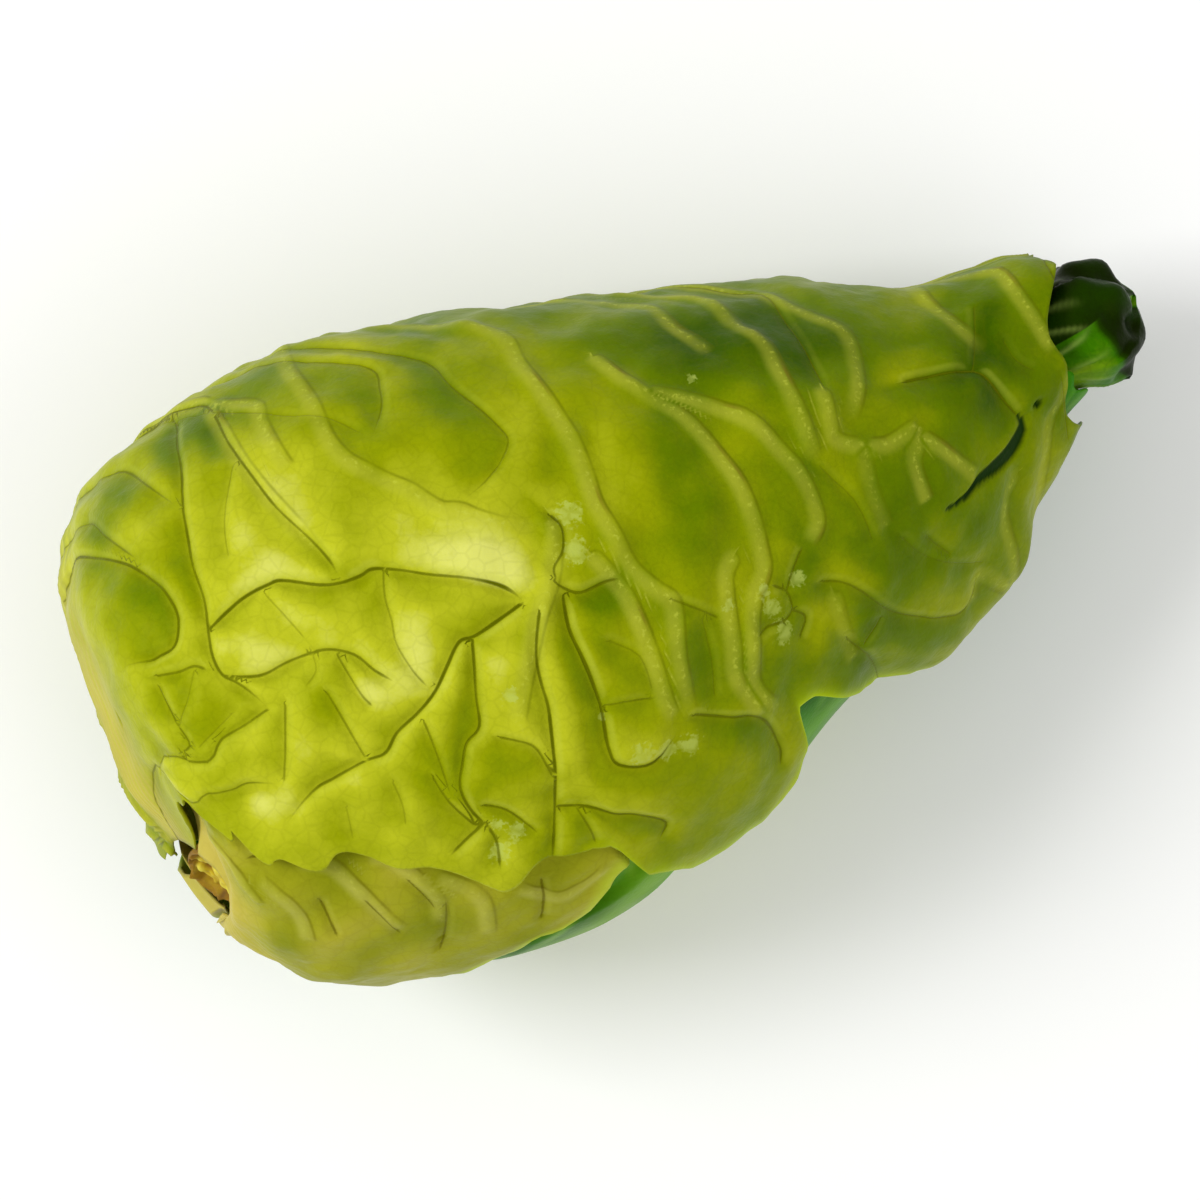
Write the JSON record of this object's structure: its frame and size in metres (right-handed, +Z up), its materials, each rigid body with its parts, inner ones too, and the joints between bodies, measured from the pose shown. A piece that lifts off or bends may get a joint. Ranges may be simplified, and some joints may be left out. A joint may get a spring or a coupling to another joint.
{
  "type": "pointed cabbage",
  "caption": "Whole pointed cabbage lying on its side: crinkled green wrapper leaves round a dense cone-shaped heart, with a cut stem at the blunt end.",
  "frame": {"origin": "middle of the head in plan, on the surface that it lies on", "axes": "+X along the head towards its point, +Z up, +Y to the side that the outer leaf wraps over"},
  "size_m": [0.2396, 0.1405, 0.1148],
  "materials": {
    "stem": "cut plant stem, dry and brownish at the rim, yellow inside",
    "heart": "dark green crinkled leaf, satin",
    "outer_leaf": "waxy yellow-green leaf, satin, pale ribs",
    "lower_leaf": "pale beige-green leaf, satin",
    "side_leaf": "dark green leaf, satin",
    "under_leaf": "pale green leaf, satin",
    "inner_leaf": "vivid dark green leaf, satin"
  },
  "bodies": {
    "root": {"stem": "stem", "heart": "heart", "outer_leaf": "outer_leaf", "lower_leaf": "lower_leaf", "side_leaf": "side_leaf", "under_leaf": "under_leaf", "inner_leaf": "inner_leaf"}
  },
  "joints": []
}
